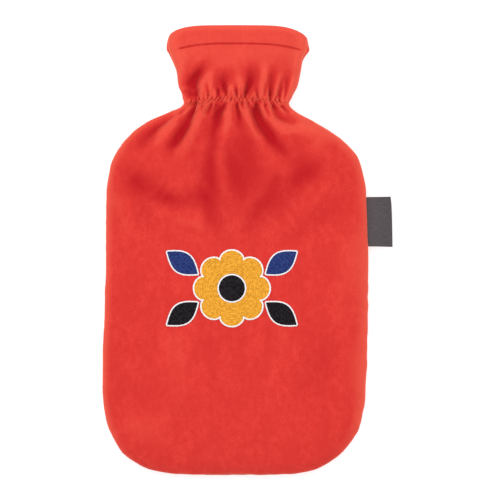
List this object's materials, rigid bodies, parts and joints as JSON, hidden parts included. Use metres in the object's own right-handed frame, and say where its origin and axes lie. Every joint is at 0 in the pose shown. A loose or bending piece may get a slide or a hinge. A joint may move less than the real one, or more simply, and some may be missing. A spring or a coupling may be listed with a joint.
{
  "type": "hot water bottle cover",
  "caption": "Soft fleece cover for a hot water bottle, with a gathered neck, an open collar and an applique flower, lying on its back.",
  "frame": {"origin": "a point on the flat back, on the neck's centre line, level with the middle of the front's flower", "axes": "+Y from the bottom seam to the mouth, +Z out of the front, +X to the side with the label"},
  "size_m": [0.2367, 0.3664, 0.0393],
  "materials": {
    "red_fleece": "short brushed pile",
    "grey_ribbon": "woven satin ribbon",
    "yellow_applique": "embroidered",
    "blue_applique": "embroidered",
    "black_applique": "embroidered"
  },
  "bodies": {
    "root": {"front_panel": "red_fleece", "back_panel": "red_fleece", "seam_label": "grey_ribbon", "flower_patch": "yellow_applique", "flower_centre_patch": "black_applique", "leaf_patch_upper_left": "blue_applique", "leaf_patch_upper_right": "blue_applique", "leaf_patch_lower_left": "black_applique", "leaf_patch_lower_right": "black_applique"}
  },
  "joints": []
}
